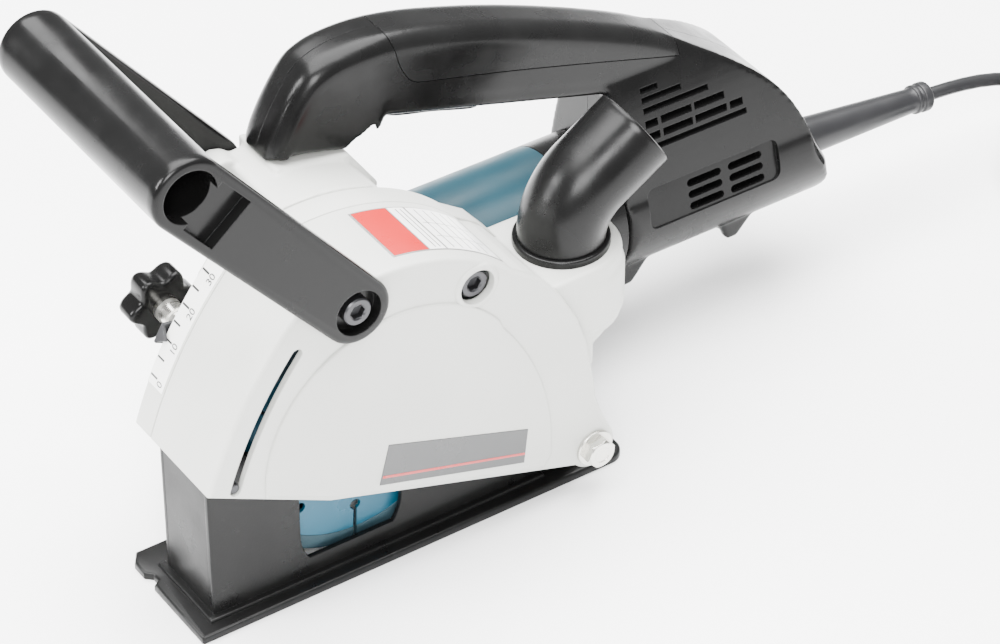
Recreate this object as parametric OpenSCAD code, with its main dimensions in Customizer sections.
/* [Cutting wheels] */
// Diameter of each diamond wheel
wheel_d = 125; // [122:1:126]
// Thickness of each diamond wheel
wheel_t = 2.4; // [1.8:0.1:2.6]
// Width of the groove, measured over both wheels
groove_w = 30; // [27:1:30]
// Distance from the base pivot to the spindle
swing_r = 118.5; // [118:0.1:119]
// Height of the spindle above the base pivot with the base fully down
spindle_up = 47.5; // [47:0.5:49]

/* [Blade case] */
// Width of the blade case over both of its walls
case_w = 61.4; // [60.8:0.2:62]
// Radius of the front face about the base pivot
case_r = 203.3; // [203:0.1:204]
// Radius of the roof about the spindle
roof_r = 95; // [94.5:0.1:96]
// Wall thickness of the castings
skin = 3; // [2.8:0.1:3]
// Where the cover meets the case, measured from the near face
split_y = 48; // [47:0.5:49]

/* [Motor and handle] */
// Height of the motor shaft from the near face of the case, across the machine
motor_y = 98.5; // [98:0.1:99]
// Outer radius of the motor housing
motor_r = 34.5; // [34.4:0.1:34.8]
// Width of the main handle
handle_w = 29; // [28:0.5:30]
// Wall thickness of the plastic shells
shell = 2.6; // [2.4:0.1:2.8]

/* [Front grip] */
// Radius of the front grip bar
bar_r = 16.5; // [15.5:0.5:17]
// Thickness of the two arms of the front grip
arm_t = 7; // [6.5:0.5:7.5]

/* [Base] */
// Length of the base
base_l = 220.5; // [218:0.5:224]
// Thickness of the base flange
flange_t = 4; // [3:0.5:4.5]
// Height of the pivot above the floor
pivot_h = 24; // [24:0.5:25]

/* [Depth stop] */
// Radius of the clamping screw's path about the pivot
stop_r = 191; // [190.5:0.1:191.5]
// Angle of the clamping screw above the pivot at the 10 mm mark
stop_a = 30.6; // [30.4:0.1:31]

/* [Cord] */
// Diameter of the cord
cord_d = 6.6; // [6.2:0.1:7]

/* [Hidden] */
$fn = 72;

// The modules work from the base pivot: X to the rear, Y across from the near face, Z up.
pivot_x = 16.5;
pivot_y = -63.75;
gap = 0.3;          // room between bodies that pass each other
snug = 0.06;        // radial running clearance of a shaft
spin_x = -sqrt(swing_r * swing_r - spindle_up * spindle_up);
spin_z = spindle_up;
far_y = case_w;
wheel_mid = 37;     // middle of the groove, from the near face
near_wheel_y = wheel_mid - groove_w / 2;
far_wheel_y = wheel_mid + groove_w / 2;
arbor_r = 11.1;
lug_r = 11.5;
bolt_r = 4;         // M8
head_r = 6.5;
duct_x = 3;
duct_y = 31;
duct_r = 26.5;
duct_top = 94;
grip_bolt = [-123.4, 134.2];
grip_bar = [-197.5, 223.5];
far_arm_y = 111;
cover_bolt_at = [-61.4, 116.5];
slot_r = 191;
slot_a0 = 18.9;
slot_a1 = 38.7;
pin_r = 2.3;
floor_z = -pivot_h;
flange_z = floor_z + flange_t;
wall_y0 = 17.5;
wall_y1 = 56.5;
wall_t = 2.5;
wall_x = -185;
handle_y0 = motor_y - handle_w / 2;
handle_y1 = motor_y + handle_w / 2;
under_a = 16.7;     // slope of the handle's underside
rear_x = 64;        // where the rear housing meets the motor housing
guard_a = 4.2;      // droop of the cord guard
coil_in = 23.8;
coil_out = 50.2;
coil_h = 19.8;
coil_at = [340, 45];

case_grey = [0.80, 0.81, 0.78];
black = [0.08, 0.08, 0.09];
steel = [0.62, 0.63, 0.64];
teal = [0.10, 0.36, 0.45];

// ---- shapes that repeat ----

function arc(cx, cz, r, a0, a1, n = 12) =
    [for (i = [0 : n]) let (a = a0 + (a1 - a0) * i / n) [cx + r * cos(a), cz + r * sin(a)]];

// A straight link with a round end of radius ar at a and br at b
function link(a, ar, b, br) = let (phi = atan2(b[1] - a[1], b[0] - a[0]))
    concat(arc(a[0], a[1], ar, phi + 90, phi + 270, 16), arc(b[0], b[1], br, phi - 90, phi + 90, 16));

// A curved slot of half width h about the pivot, from angle a0 to a1 above the front
function curved_slot(r, h, a0, a1) = concat(
    arc(0, 0, r + h, 180 - a0, 180 - a1),
    arc(-r * cos(a1), r * sin(a1), h, 180 - a1, -a1, 8),
    arc(0, 0, r - h, 180 - a1, 180 - a0),
    arc(-r * cos(a0), r * sin(a0), h, -a0, -180 - a0, 8));

// The outline p moved inwards by d; p runs clockwise
function unit(v) = v / norm(v);
function inset(p, d) = [for (i = [0 : len(p) - 1])
    let (a = unit(p[i] - p[(i + len(p) - 1) % len(p)]), b = unit(p[(i + 1) % len(p)] - p[i]),
         na = [a[1], -a[0]], nb = [b[1], -b[0]])
    p[i] + d * (na + nb) / (1 + na * nb)];

module placed() translate([pivot_x, pivot_y, pivot_h]) children();

module slab(y0, y1, pts) translate([0, y1, 0]) rotate([90, 0, 0]) linear_extrude(y1 - y0) polygon(pts);

module rod_y(x, z, r, y0, y1) translate([x, y1, z]) rotate([90, 0, 0]) cylinder(r = r, h = y1 - y0);

module rod_x(y, z, r, x0, x1) translate([x0, y, z]) rotate([0, 90, 0]) cylinder(r = r, h = x1 - x0);

module motor_rod(r, x0, x1) rod_x(motor_y, spin_z, r, x0, x1);

module spin_rod(r, y0, y1) rod_y(spin_x, spin_z, r, y0, y1);

module section_x(x0, x1, pts) translate([x0, 0, 0]) rotate([90, 0, 90]) linear_extrude(x1 - x0) polygon(pts);

module block(lo, hi) translate(lo) cube(hi - lo);

// Socket-head screw along +Y, its head at y and its shank len long
module socket_screw(x, z, y, len, dir = 1) translate([x, y, z]) rotate([-90 * dir, 0, 0]) difference() {
    union() {
        translate([0, 0, -5]) cylinder(r = head_r, h = 5);
        cylinder(r = bolt_r, h = len);
    }
    translate([0, 0, -6]) cylinder(r = 3.5, h = 4, $fn = 6);
}

module bearing(r_out, r_in, h, balls) {
    mid = (r_out + r_in) / 2;
    ball = (r_out - r_in) * 0.25;
    difference() {
        cylinder(r = r_out, h = h);
        translate([0, 0, -1]) cylinder(r = mid + ball * 0.7, h = h + 2);
    }
    difference() {
        cylinder(r = mid - ball * 0.7, h = h);
        translate([0, 0, -1]) cylinder(r = r_in, h = h + 2);
    }
    for (i = [0 : balls - 1]) rotate([0, 0, 360 * i / balls]) translate([mid, 0, h / 2])
        sphere(r = ball * 0.68, $fn = 24);
}

// ---- blade case ----

function case_outline() = concat(
    arc(0, 0, case_r, 162, 137.5),
    [[-145.5, 140.8], [-137, 142.3]],
    arc(spin_x, spin_z, roof_r, 100, 44.5),
    [[-29, 106], [-19, 94], [-9, 76], [-4, 61], [-1.5, 48], [0.5, 37], [1.5, 27], [5, 17], [9, 8]],
    arc(0, 0, lug_r, 0, -140, 8),
    [[-25, -2.2], [-135.3, 33.4]]);

function case_cavity() = concat(
    arc(0, 0, case_r - skin, 168, 138.2),
    [[-144.5, 137.6], [-137, 139.2]],
    arc(spin_x, spin_z, roof_r - skin, 99.5, 45),
    [[-31.5, 103.6], [-22, 92], [-12, 74.5], [-7.2, 60], [-4.6, 48], [-2.6, 37], [-1.6, 27],
     [-1.5, 14], [30, 14], [30, -40], [-230, -40]]);

// Raised field on the near face, round the wheels
function pad_outline() = concat(
    arc(-102, 54.5, 65, 183, 37, 20),
    arc(-145.8, 13.8, 123, 37.5, -3, 8),
    [[-27, 1.5], [-134, 36], [-164, 51]]);

module duct_outer() {
    slab(duct_y - duct_r, duct_y + duct_r,
        [[-41, 60], [-41, 113.5], [-27, 103.5], [-19, duct_top], [duct_x, duct_top], [duct_x, 42],
         [-8, 42], [-8, 60]]);
    translate([duct_x, duct_y, 60]) cylinder(r = duct_r, h = duct_top - 60);
    translate([duct_x, duct_y, 62]) cylinder(r = duct_r + 1.3, h = 24);
    translate([duct_x, duct_y, 34]) cylinder(r1 = 11, r2 = duct_r, h = 26);
}

module duct_inner() {
    slab(duct_y - duct_r + skin, duct_y + duct_r - skin,
        [[-50, 63], [-50, 104], [-42, 108], [-29, 99], [-21, duct_top - skin],
         [duct_x, duct_top - skin], [duct_x, 52], [-12, 63]]);
    translate([duct_x, duct_y, 58]) cylinder(r = duct_r - skin, h = duct_top - skin - 58);
    translate([duct_x, duct_y, 40]) cylinder(r1 = 9, r2 = duct_r - skin, h = 18);
    translate([duct_x, duct_y, 60]) cylinder(r = 18.2, h = 60);
}

module blade_case() color(case_grey) placed() difference() {
    union() {
        difference() {
            slab(split_y, far_y, case_outline());
            slab(split_y - 1, far_y - skin, case_cavity());
        }
        duct_outer();
        rod_y(cover_bolt_at[0], cover_bolt_at[1], 9.5, split_y, far_y - 1);
        rod_y(0, 0, lug_r + 0.4, far_y - 4, far_y);
    }
    duct_inner();
    slab(far_y - 5, far_y + 1, curved_slot(stop_r, bolt_r + gap, 25.6, 40.5));
    spin_rod(19.5, far_y - 5, far_y + 1);
    rod_y(cover_bolt_at[0], cover_bolt_at[1], bolt_r, split_y - 1, far_y + 1);
    rod_y(0, 0, bolt_r + snug, far_y - 6, far_y + 1);
}

module case_cover() color(case_grey) placed() difference() {
    union() {
        difference() {
            slab(0, split_y, case_outline());
            slab(skin, split_y + 1, case_cavity());
            block([-41, duct_y - duct_r, 60], [40, split_y + 1, 130]);
            block([-9, duct_y - duct_r, 32], [40, split_y + 1, 61]);
        }
        slab(-1.2, 0, pad_outline());
        rod_y(cover_bolt_at[0], cover_bolt_at[1], 9.5, 1, split_y);
        rod_y(grip_bolt[0], grip_bolt[1], 9, 0, 34);
        rod_y(0, 0, lug_r + 0.4, 0, 8);
    }
    slab(-3, 5, curved_slot(slot_r, pin_r + gap, slot_a0 - 0.1, slot_a1));
    rod_y(cover_bolt_at[0], cover_bolt_at[1], 8.3, -1, 6.5);
    rod_y(cover_bolt_at[0], cover_bolt_at[1], bolt_r, 5, split_y + 1);
    rod_y(grip_bolt[0], grip_bolt[1], bolt_r, -1, 30);
    rod_y(0, 0, bolt_r + snug, -1, 9);
}

module cover_bolt() color("dimgray") placed()
    socket_screw(cover_bolt_at[0], cover_bolt_at[1], 6.5, 50);

// ---- gear housing ----

housing_side = concat(
    arc(spin_x, spin_z, 34, 262, 150, 10),
    [[-134, 84], [-119, 104], [-119, 141.9]],
    arc(spin_x, spin_z, roof_r, 92, 68, 5),
    [[-62, 122], [-62, 96], [-62, 78], [-62, 20]]);
housing_pocket = [[-113, 92], [-113, 136], [-98, 138.5], [-80, 132], [-69, 119], [-67, 92]];

module gear_housing() color(case_grey) placed() difference() {
    union() {
        slab(far_y, 98, housing_side);
        slab(98, far_arm_y, housing_side);
        rod_y(grip_bolt[0], grip_bolt[1], 11, 99, far_arm_y);
        slab(handle_y0 - 1.5, handle_y1 + 1.5,
            [[-107.3, 128], [-107.3, 144.8], [-71, 138.5], [-57, 118], [-60, 100]]);
        slab(far_arm_y, 115, arc(spin_x, spin_z, 30, 0, 345, 23));
        motor_rod(36, -76, -62);
        motor_rod(motor_r, -104, -62);
    }
    spin_rod(29, far_y - 1, 109);
    spin_rod(9.05, 108, 113);
    motor_rod(16, -78, -61);
    motor_rod(11, -108, -61);
    motor_rod(26, -68, -61);
    slab(far_y - 1, 106, housing_pocket);
    rod_y(grip_bolt[0], grip_bolt[1], bolt_r, 100, far_arm_y + 1);
    rod_y(spin_x - 18, spin_z, 3.1, 108, 116);
}

module gearbox_screws() color("dimgray") placed()
    for (a = [45 : 90 : 315]) translate([-62, motor_y + 30 * cos(a), spin_z + 30 * sin(a)])
        rotate([0, -90, 0]) cylinder(r = 1.9, h = 3.6);

module bearing_plate() color("silver") placed() difference() {
    spin_rod(28.9, far_y, 75);
    spin_rod(16, far_y - 1, 73);
    spin_rod(11.5, far_y - 1, 76);
}

module spindle_bearings() color("silver") placed() {
    translate([spin_x, 73, spin_z]) rotate([90, 0, 0]) bearing(15.95, 7.5, 10, 9);
    translate([spin_x, 112.9, spin_z]) rotate([90, 0, 0]) bearing(9, 5, 4.8, 8);
}

// ---- wheels and spindle ----

module spindle_shaft() color(steel) placed() {
    spin_rod(7, near_wheel_y - 7, 60);
    spin_rod(7.5 - snug, 60, 78);
    spin_rod(8, 78, 94.5);
    spin_rod(5 - snug, 94.5, 112.5);
}

module diamond_wheel(y) difference() {
    union() {
        spin_rod(wheel_d / 2 - 7, y + 0.3, y + wheel_t - 0.3);
        difference() {
            spin_rod(wheel_d / 2, y, y + wheel_t);
            spin_rod(wheel_d / 2 - 7, y - 1, y + wheel_t + 1);
        }
    }
    spin_rod(arbor_r + 0.02, y - 1, y + wheel_t + 1);
    for (i = [0 : 8]) translate([spin_x, y - 1, spin_z]) rotate([0, 40 * i + 12, 0]) {
        translate([wheel_d / 2 - 19, 0, 0]) rotate([-90, 0, 0]) cylinder(r = 2.6, h = wheel_t + 2);
        translate([wheel_d / 2 - 19, 0, -0.9]) cube([30, wheel_t + 2, 1.8]);
    }
}

module wheel_near() color(teal) placed() diamond_wheel(near_wheel_y);

module wheel_far() color(teal) placed() diamond_wheel(far_wheel_y - wheel_t);

module wheel_spacers() color(steel) placed() {
    room = groove_w - 2 * wheel_t;
    for (i = [0 : 3]) difference() {
        spin_rod(16, near_wheel_y + wheel_t + room * i / 4, near_wheel_y + wheel_t + room * (i + 1) / 4);
        spin_rod(arbor_r + 0.02, 20, 56);
    }
}

module inner_flange() color(steel) placed() difference() {
    union() {
        spin_rod(18, far_wheel_y, far_wheel_y + 5);
        spin_rod(arbor_r, near_wheel_y + 0.5, far_wheel_y);
    }
    spin_rod(7.02, near_wheel_y - 1, far_wheel_y + 6);
}

module lock_nut() color("dimgray") placed() difference() {
    union() {
        spin_rod(17, near_wheel_y - 4.5, near_wheel_y);
        spin_rod(11, near_wheel_y - 6, near_wheel_y - 4.5);
    }
    spin_rod(7.02, near_wheel_y - 7, near_wheel_y + 1);
    for (s = [-1, 1]) rod_y(spin_x + s * 14, spin_z, 2.2, near_wheel_y - 6, near_wheel_y - 1);
}

gear_face = 90;
gear_r = 26.5;
gear_teeth = 33;
pinion_teeth = 10;

module bevel_gear() color("darkgray") placed() difference() {
    union() {
        spin_rod(gear_r, 80, gear_face);
        translate([spin_x, gear_face, spin_z]) rotate([-90, 0, 0]) cylinder(r1 = gear_r, r2 = 14.5, h = 3.6);
    }
    spin_rod(8.02, 79, 95);
    translate([spin_x, 0, spin_z]) for (i = [0 : gear_teeth - 1]) rotate([0, 360 * i / gear_teeth, 0])
        translate([15, gear_face - 2.2, -0.9]) rotate([0, 0, -16.9]) translate([0, 4, 0]) cube([13, 5, 1.8]);
}

module bevel_pinion() color("darkgray") placed() difference() {
    union() {
        translate([-94, motor_y, spin_z]) rotate([0, 90, 0]) cylinder(r1 = 4.1, r2 = 7.7, h = 12);
        motor_rod(7.7, -82, -79);
    }
    motor_rod(3.02, -95, -78);
    translate([-82, motor_y, spin_z]) for (i = [0 : pinion_teeth - 1]) rotate([360 * i / pinion_teeth, 0, 0])
        translate([-9, -0.7, 6.6]) rotate([0, -16.7, 0]) cube([12, 1.4, 4]);
}

// ---- motor ----

module motor_housing() color(teal) placed() difference() {
    union() {
        motor_rod(motor_r, -62, rear_x);
        motor_rod(14, rear_x, 75.5);
    }
    motor_rod(motor_r - 2.4, -63, 60);
    motor_rod(11, 59, 77);
}

module armature_shaft() color(steel) placed() {
    motor_rod(3, -93.5, -79);
    motor_rod(5 - snug, -79, 75);
}

module armature_core() color("dimgray") placed() difference() {
    motor_rod(19.3, -36, 26);
    motor_rod(5, -37, 27);
    translate([-37, motor_y, spin_z]) for (a = [0 : 30 : 330]) rotate([a, 0, 0])
        translate([0, -1.2, 12]) cube([64, 2.4, 8]);
}

module commutator() color("peru") placed() difference() {
    motor_rod(12.5, 38, 56);
    motor_rod(5, 37, 57);
    translate([40, motor_y, spin_z]) for (a = [0 : 15 : 345]) rotate([a, 0, 0])
        translate([0, -0.3, 11.6]) cube([20, 0.6, 2]);
}

module cooling_fan() color("ivory") placed() difference() {
    union() {
        motor_rod(29.4, -58, -56.5);
        motor_rod(9, -58, -46);
        translate([-57, motor_y, spin_z]) for (a = [0 : 30 : 330]) rotate([a, 0, 0])
            translate([0, -0.8, 8]) cube([10, 1.6, 20.8]);
    }
    motor_rod(5, -59, -45);
}

module armature_bearings() color("silver") placed() {
    translate([-78, motor_y, spin_z]) rotate([0, 90, 0]) bearing(15.95, 5, 10, 8);
    translate([66, motor_y, spin_z]) rotate([0, 90, 0]) bearing(10.95, 5, 8, 7);
}

module stator() color("slategray") placed() difference() {
    motor_rod(32, -38, 28);
    motor_rod(20.2, -39, 29);
    for (s = [-1, 1]) translate([-39, motor_y - 8, spin_z + s * 22 - 3]) cube([68, 16, 6]);
}

module air_baffle() color("dimgray") placed() difference() {
    motor_rod(32, -44, -42);
    motor_rod(24, -45, -41);
}

module brush_holders() color("goldenrod") placed() for (s = [0, 180])
    translate([47, motor_y, spin_z]) rotate([s, 0, 0]) difference() {
        translate([-6, -6, 14]) cube([12, 12, 17]);
        translate([-3, -3.2, 13]) cube([6, 6.4, 19]);
    }

module carbon_brushes() color("dimgray") placed() for (s = [0, 180])
    translate([47, motor_y, spin_z]) rotate([s, 0, 0]) translate([-2.9, -3.1, 12.9]) cube([5.8, 6.2, 14]);

// ---- handle and rear housing ----

handle_side = [[-108.5, 145], [-105, 155], [-98, 168], [-89, 180], [-81, 185], [-70, 187.5],
    [-52, 187.5], [-32, 184], [-11, 178], [12, 170.3], [36, 161], [62, 149.8], [88, 137.2],
    [112, 122.5], [131, 110], [147, 97], [158, 84], [166, 70], [172, 57], [179, 44], [181, 33],
    [180, 21], [176, 13], [48, 13], [48, 84], [58, 84.5], [66, 88], [73, 94], [77, 102],
    [78, 109.5], [-51, 148.2], [-57.5, 147.5], [-63.5, 144.3], [-71, 138.5]];
insert_side = [[-60, 200], [104, 200], [104, 120.5], [60, 134], [7, 149.5], [-36, 161], [-41, 164.5],
    [-45, 175.5]];

function rear_section(d) = concat(
    arc(motor_y, spin_z, motor_r - d, 25, -205, 24),
    [[handle_y0 + d, 118], [handle_y0 + d, 200], [handle_y1 - d, 200], [handle_y1 - d, 118]]);

module under_handle() translate([-51, 0, 148.2]) rotate([0, under_a, 0]) children();

module around_motor(a) translate([0, motor_y, spin_z]) rotate([a, 0, 0]) children();

module handle_solid() {
    difference() {
        slab(handle_y0, handle_y1, handle_side);
        motor_rod(motor_r, 40, rear_x);
        block([40, 60, 0], [rear_x, 140, spin_z]);
    }
    intersection() {
        slab(60, 137, handle_side);
        section_x(rear_x, 182, rear_section(0));
    }
    for (y = [motor_y - 25, motor_y + 20]) slab(y, y + 5,
        [[rear_x, 34], [rear_x, 15], [67, 12], [73, 12], [91, 34]]);
    for (y = [motor_y - 25, motor_y + 20]) slab(y, y + 5,
        [[119, 34], [127, 14], [133, 14], [151, 34]]);
}

module handle_space() {
    difference() {
        slab(handle_y0 + shell, handle_y1 - shell, inset(handle_side, shell));
        motor_rod(motor_r + shell, 40, rear_x + shell);
        block([40, 60, 0], [rear_x, 140, spin_z]);
    }
    intersection() {
        slab(60, 137, inset(handle_side, shell));
        section_x(rear_x + shell, 182, rear_section(shell + 1));
    }
    motor_rod(motor_r - shell - 2, rear_x - 1, rear_x + 4);
}

module vents() {
    around_motor(-15.7) {
        translate([77, -37, -9.2]) cube([72, 4.1, 18.4]);
        for (x = [99, 122], z = [-7.2, -1.6, 4]) translate([x, -38, z]) cube([19, 10, 3.2]);
    }
    for (x = [[79, 86.6], [88.4, 104.6], [106.2, 123.6], [125.4, 133]]) block([x[0], 60, 89], [x[1], 89, 93]);
    for (x = [[79, 86.2], [88, 104.8], [106.4, 123.4]]) block([x[0], 60, 95.2], [x[1], 89, 98.9]);
}

module handle_shell() difference() {
    handle_solid();
    handle_space();
    slab(80, 117, insert_side);
    under_handle() translate([3, motor_y - 8, -2]) cube([55, 16, 8]);
    guard_frame() translate([0, 0, -8]) cylinder(r = 9.6, h = 22);
}

module handle_shell_near() color(black) placed() difference() {
    handle_shell();
    vents();
    block([-120, motor_y, 0], [190, 145, 200]);
}

module handle_shell_far() color(black) placed() difference() {
    handle_shell();
    translate([0, 2 * motor_y, 0]) mirror([0, 1, 0]) vents();
    block([-120, 50, 0], [190, motor_y, 200]);
}

module handle_insert() color([0.13, 0.13, 0.14]) placed() difference() {
    intersection() {
        slab(handle_y0, handle_y1, handle_side);
        slab(80, 117, insert_side);
    }
    slab(handle_y0 + shell, handle_y1 - shell, inset(handle_side, shell));
    under_handle() translate([32, handle_y1 - 5, 24]) rotate([-90, 0, 0]) cylinder(r = 5.3, h = 8);
}

module handle_screws() color("dimgray") placed()
    for (p = [[-95, 155], [112, 115], [150, 70], [140, 28]]) rod_y(p[0], p[1], 2, 95.5, 101.5);

module trigger() color(black) placed() under_handle() {
    translate([5, motor_y - 7.5, -4.5]) cube([50, 15, 11.5]);
    translate([8, motor_y - 10.5, 4.5]) rotate([-90, 0, 0]) cylinder(r = 1.8, h = 21);
}

module switch_body() color("dimgray") placed() under_handle()
    translate([10, motor_y - 9.5, 14.5]) cube([40, 15, 16]);

module lock_off_button() color("firebrick") placed() under_handle()
    translate([32, motor_y + 9.3, 24]) rotate([-90, 0, 0]) cylinder(r = 5, h = 8.2);

module shaft_lock_button() color(black) placed() {
    rod_y(spin_x - 18, spin_z, 3, 100, 116);
    rod_y(spin_x - 18, spin_z, 6.5, 119.3, 123);
    rod_y(spin_x - 18, spin_z, 3, 116, 119.3);
}

module speed_module() color("darkgreen") placed() block([82, 90, 94], [112, 107, 106]);

module cord_clamp() color("dimgray") placed() difference() {
    block([150, 86, 22], [158, 111, 42]);
    rod_x(motor_y, 33.5, 3.4, 149, 159);
}

// ---- front grip ----

module front_grip() color(black) placed() difference() {
    union() {
        slab(-arm_t, 0, link(grip_bolt, 15.5, grip_bar, bar_r));
        slab(far_arm_y, far_arm_y + arm_t, link(grip_bolt, 15.5, grip_bar, bar_r));
        rod_y(grip_bar[0], grip_bar[1], bar_r, -arm_t, far_arm_y + arm_t);
    }
    rod_y(grip_bar[0], grip_bar[1], 12, -arm_t - 1, 100);
    translate([grip_bar[0], -arm_t - 1, grip_bar[1]]) rotate([0, 50.3, 0]) translate([8, 0, -12])
        cube([19, 5.5, 24]);
    rod_y(grip_bolt[0], grip_bolt[1], 10.7, -arm_t - 1, -1.5);
    rod_y(grip_bolt[0], grip_bolt[1], 10.7, far_arm_y + 1.5, far_arm_y + arm_t + 1);
    rod_y(grip_bolt[0], grip_bolt[1], bolt_r, -arm_t - 1, far_arm_y + arm_t + 1);
}

module grip_bolts() color("dimgray") placed() {
    socket_screw(grip_bolt[0], grip_bolt[1], -1.5, 30);
    socket_screw(grip_bolt[0], grip_bolt[1], far_arm_y + 1.5, 11.5, -1);
}

// ---- dust nozzle ----

nozzle_r = 19.5;
nozzle_bore = 16.5;
spigot_r = 17.9;
bend_r = 30;
bend_a = 58;
nozzle_z = 97.8;

module nozzle_bend(r) translate([duct_x + bend_r, duct_y, nozzle_z]) rotate([90, 0, 0])
    rotate([0, 0, 180 - bend_a]) rotate_extrude(angle = bend_a) translate([bend_r, 0]) circle(r);

module nozzle_end(r, from, to) translate([duct_x + bend_r * (1 - cos(bend_a)), duct_y,
    nozzle_z + bend_r * sin(bend_a)]) rotate([0, bend_a, 0]) translate([0, 0, from]) cylinder(r = r, h = to - from);

module dust_nozzle() color(black) placed() difference() {
    union() {
        translate([duct_x, duct_y, nozzle_z - 10]) cylinder(r = spigot_r, h = 11);
        nozzle_bend(nozzle_r);
        nozzle_end(nozzle_r + 0.4, -1, 28.5);
    }
    translate([duct_x, duct_y, nozzle_z - 11]) cylinder(r = nozzle_bore - 0.5, h = 12.5);
    nozzle_bend(nozzle_bore);
    nozzle_end(nozzle_bore - 0.5, -1.5, 30);
}

module nozzle_seat() color(black) placed() translate([duct_x, duct_y, duct_top]) difference() {
    cylinder(r = 21.5, h = 3.5);
    translate([0, 0, -1]) cylinder(r = spigot_r + snug, h = 6);
}

// ---- labels ----

module depth_scale() color("white") placed() slab(split_y + 1, far_y - 1,
    concat(arc(0, 0, case_r + 0.4, 156.2, 138.4), arc(0, 0, case_r + 0.02, 138.4, 156.2)));

module side_label() color("gray") placed() slab(-1.5, -1.2,
    [[-112, 32.5], [-107, 52.5], [-36, 28], [-38, 10]]);

module name_plate() color("white") placed() slab(8, 43,
    concat(arc(spin_x, spin_z, roof_r + 0.4, 83, 46.4), arc(spin_x, spin_z, roof_r + 0.05, 46.4, 83)));

// ---- base ----

base_front = 25 - base_l;
wall_outline = concat(
    [[wall_x, flange_z], [wall_x, 68], [wall_x + 2, 69.5], [-162, 60], [-140.5, 47]],
    arc(-115, 3.6, 25.5, 180, 213, 6),
    arc(-115, 3.6, 25.5, 327, 360, 6),
    [[-89.5, 27], [-60, 19], [-25, 9.5], [-9, 8.5]],
    arc(0, 0, 9, 100, 0, 6),
    [[13, flange_z]]);

module base_plate() color(black) placed() difference() {
    union() {
        translate([0, 0, floor_z]) linear_extrude(flange_t) polygon([[base_front, 8.8], [base_front, 50],
            [base_front + 3, 52], [base_front + 3, 56], [base_front, 59], [base_front, 67],
            [base_front + 4, 73], [-172, 73], [-158, 59.5], [-82, 59.5], [-75, 66], [-75, 112],
            [-69, 118], [19, 118], [25, 112], [25, 14.8], [19, 8.8]]);
        slab(wall_y0, wall_y0 + wall_t, wall_outline);
        slab(wall_y1 - wall_t, wall_y1, wall_outline);
        block([wall_x, wall_y0, flange_z], [wall_x + wall_t, wall_y1, 67]);
        block([wall_x - 3, wall_y0 - 3, flange_z], [-16, wall_y0, flange_z + 1.6]);
        block([wall_x - 3, wall_y0 - 3, flange_z], [wall_x, wall_y1 + 3, flange_z + 1.6]);
    }
    block([-182, wall_y0 + wall_t, floor_z - 1], [-50, wall_y1 - wall_t, flange_z + 1]);
    rod_y(0, 0, bolt_r + snug, 10, 60);
    rod_y(-21, -11, 2.5, 10, 60);
    rod_y(-slot_r * cos(slot_a0), slot_r * sin(slot_a0), pin_r, 10, 19);
}

module guide_pin() color("dimgray") placed()
    rod_y(-slot_r * cos(slot_a0), slot_r * sin(slot_a0), pin_r, 0.8, 19);

module base_cross_pin() color("sienna") placed() rod_y(-21, -11, 2.5, wall_y0 - 1, wall_y1 + 1);

module pivot_bolt() color("gainsboro") placed() {
    rod_y(0, 0, bolt_r, -1.7, 66);
    translate([0, -1.7, 0]) rotate([90, 0, 0]) rotate([0, 0, 12]) cylinder(r = 7.4, h = 5.3, $fn = 6);
}

module pivot_washer() color("gainsboro") placed() difference() {
    rod_y(0, 0, 9, -1.7, 0);
    rod_y(0, 0, bolt_r, -3, 1);
}

module pivot_nut() color("gainsboro") placed() difference() {
    translate([0, far_y + 6.5, 0]) rotate([90, 0, 0]) cylinder(r = 7.4, h = 6.5, $fn = 6);
    rod_y(0, 0, bolt_r, far_y - 1, far_y + 8);
}

module pivot_sleeve() color(steel) placed() difference() {
    rod_y(0, 0, 6.6, wall_y0 + wall_t + 0.4, wall_y1 - wall_t - 0.4);
    rod_y(0, 0, bolt_r + 0.02, 10, 60);
}

// Torsion spring round the pivot sleeve, a helix of square-section rings
spring_turns = 6;
spring_steps = 16;
module return_spring() color("silver") placed() {
    n = spring_turns * spring_steps;
    m = 8;
    ring = [for (k = [0 : m - 1]) [8.6 + 0.9 * cos(360 * k / m), 0.9 * sin(360 * k / m)]];
    pts = [for (i = [0 : n], q = ring) let (a = 360 * i / spring_steps)
        [q[0] * cos(a), 26 + 22 * i / n + q[1], q[0] * sin(a)]];
    sides = [for (i = [0 : n - 1], k = [0 : m - 1])
        [i * m + k, i * m + (k + 1) % m, (i + 1) * m + (k + 1) % m, (i + 1) * m + k]];
    polyhedron(pts, concat(sides, [[for (k = [m - 1 : -1 : 0]) k], [for (k = [0 : m - 1]) n * m + k]]));
}

// ---- depth stop ----

stop_at = [-stop_r * cos(stop_a), stop_r * sin(stop_a)];
pointer_a = 29.7;

module stop_bolt() color(steel) placed() {
    rod_y(stop_at[0], stop_at[1], 6.3, far_y - skin - 1.5, far_y - skin - gap);
    rod_y(stop_at[0], stop_at[1], bolt_r, far_y - skin - gap, 84);
}

module depth_pointer() color("dimgray") placed() difference() {
    union() {
        slab(far_y + gap, far_y + 1.9, concat(arc(stop_at[0], stop_at[1], 7, 60, -80, 10),
            [[-205.9 * cos(pointer_a - 1.1), 205.9 * sin(pointer_a - 1.1)],
             [-205.9 * cos(pointer_a + 1.5), 205.9 * sin(pointer_a + 1.5)]]));
        rotate([0, pointer_a, 0]) section_x(-206, -204.4,
            [[far_y + 1.9, -4], [far_y + 1.9, 5.5], [far_y - 4.2, 0.4], [far_y - 4.2, -0.4]]);
    }
    rod_y(stop_at[0], stop_at[1], bolt_r, 50, 70);
}

module knob_sleeve() color("gainsboro") placed() difference() {
    rod_y(stop_at[0], stop_at[1], 5.9, far_y + 2.2, 82);
    rod_y(stop_at[0], stop_at[1], bolt_r + snug, 50, 90);
}

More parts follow.
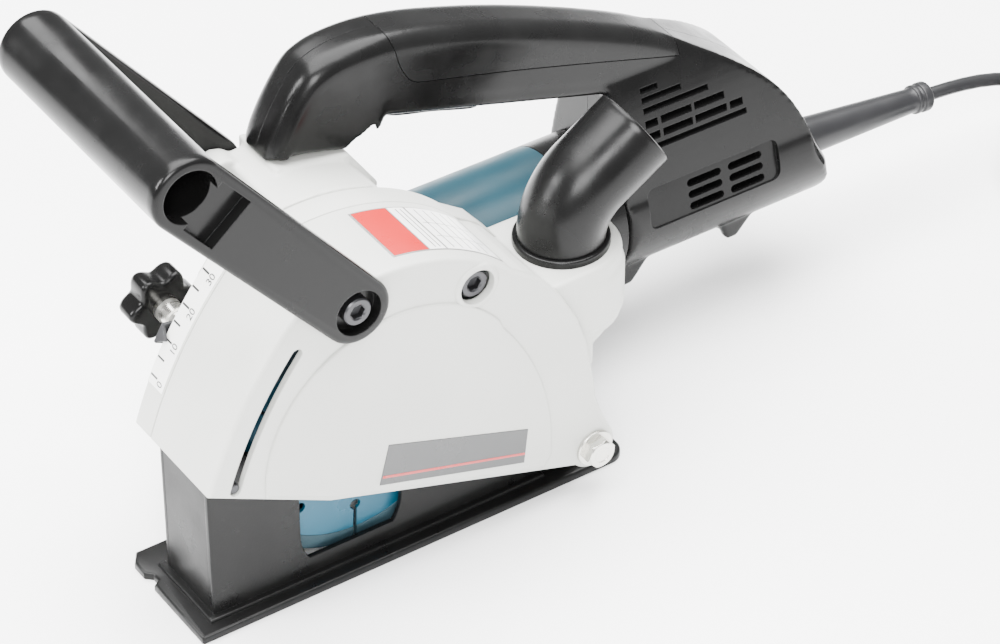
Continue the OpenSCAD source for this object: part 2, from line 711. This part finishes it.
module star_knob() color(black) placed() difference() {
    slab(82, 95, [for (a = [0 : 6 : 354]) let (r = 14.2 + 2.3 * cos(6 * a))
        [stop_at[0] + r * cos(a), stop_at[1] + r * sin(a)]]);
    rod_y(stop_at[0], stop_at[1], bolt_r + snug, 80, 86);
}

// ---- cord and plug ----

guard_root = [178, motor_y, 33.5];
guard_len = 86;

module guard_frame() translate(guard_root) rotate([0, 90 + guard_a, 0]) children();

module cord_guard() color(black) placed() guard_frame() {
    translate([0, 0, -4]) cylinder(r = 9.5, h = 12);
    translate([0, 0, 8]) cylinder(r1 = 9.5, r2 = 6, h = guard_len - 16);
    translate([0, 0, guard_len - 8]) cylinder(r = 7.4, h = 8);
}

// Middle of the cord, from the guard's tip down to the outside of the coil
cord_route = [[263.8, 98.5, 27.2], [270, 98.5, 26.7], [278, 98.5, 25.9], [287, 98.5, 24.6],
    [297, 98.5, 22.6], [307, 98.4, 19.8], [317, 98, 16.3], [327, 97.2, 12], [337, 95.6, 7.1],
    [346, 93.2, 2], [355, 89.8, -3.3], [363, 85.6, -8.2], [370, 80.4, -12.6], [376, 74.2, -16.2],
    [380.8, 67.2, -18.8], [384.2, 59.8, -20.2], [386.3, 52.4, -20.7], [386.9, 45, -20.7]];

// The last of the cord, from the top of the coil round to the plug
lead_route = [[299.7, 42, -7.5], [299.7, 48, -6.9], [299.7, 54, -5.5], [299.8, 60, -3.6],
    [301, 67, -1.3], [304, 74, 0.8], [309, 80.6, 2.8], [315.5, 85.2, 4.7], [323, 87.8, 6.4],
    [331, 88, 8], [338.5, 85.8, 9.5], [345.2, 81.6, 10.8], [350.6, 75.7, 11.8], [354.3, 68.6, 12.5],
    [356, 60, 12.8]];
plug_at = [356, 34, 12.8];

function frame_side(t) = unit(cross(t, [0, 0, 1]));

module tube(route, d, m) {
    n = len(route) - 1;
    pts = [for (i = [0 : n]) let (t = unit(route[min(i + 1, n)] - route[max(i - 1, 0)]),
        s = frame_side(t), u = cross(s, t)) for (k = [0 : m - 1])
        route[i] + d / 2 * (cos(360 * k / m) * s + sin(360 * k / m) * u)];
    sides = [for (i = [0 : n - 1], k = [0 : m - 1])
        [i * m + k, i * m + (k + 1) % m, (i + 1) * m + (k + 1) % m, (i + 1) * m + k]];
    polyhedron(pts, concat(sides, [[for (k = [m - 1 : -1 : 0]) k], [for (k = [0 : m - 1]) n * m + k]]));
}

module cord() color(black) placed() {
    tube(cord_route, cord_d, 10);
    tube(lead_route, cord_d, 10);
}

module cord_coil() color(black) placed() translate([coil_at[0], coil_at[1], floor_z]) difference() {
    cylinder(r = coil_out, h = coil_h);
    translate([0, 0, -1]) cylinder(r = coil_in, h = coil_h + 2);
}

module plug_body() color(black) placed() translate(plug_at) rotate([90, 0, 0]) {
    translate([0, 0, -8]) cylinder(r = 17, h = 22);
    translate([0, 0, -26]) cylinder(r1 = 4.6, r2 = 12, h = 18);
}

// Two round pins 19 mm apart
module plug_pins() color("silver") placed() translate(plug_at) rotate([90, 0, 0])
    for (s = [-1, 1]) translate([9.5 * s, 0, 14]) cylinder(r = 2.4, h = 19);

blade_case();
case_cover();
gear_housing();
motor_housing();
handle_shell_near();
handle_shell_far();
handle_insert();
front_grip();
grip_bolts();
cover_bolt();
dust_nozzle();
nozzle_seat();
depth_scale();
side_label();
name_plate();
base_plate();
guide_pin();
base_cross_pin();
pivot_bolt();
pivot_washer();
pivot_nut();
pivot_sleeve();
return_spring();
stop_bolt();
depth_pointer();
knob_sleeve();
star_knob();
wheel_near();
wheel_far();
wheel_spacers();
inner_flange();
lock_nut();
spindle_shaft();
bevel_gear();
spindle_bearings();
bearing_plate();
armature_shaft();
armature_core();
commutator();
cooling_fan();
bevel_pinion();
armature_bearings();
stator();
air_baffle();
brush_holders();
carbon_brushes();
switch_body();
speed_module();
cord_clamp();
trigger();
lock_off_button();
shaft_lock_button();
handle_screws();
gearbox_screws();
cord_guard();
cord();
cord_coil();
plug_body();
plug_pins();
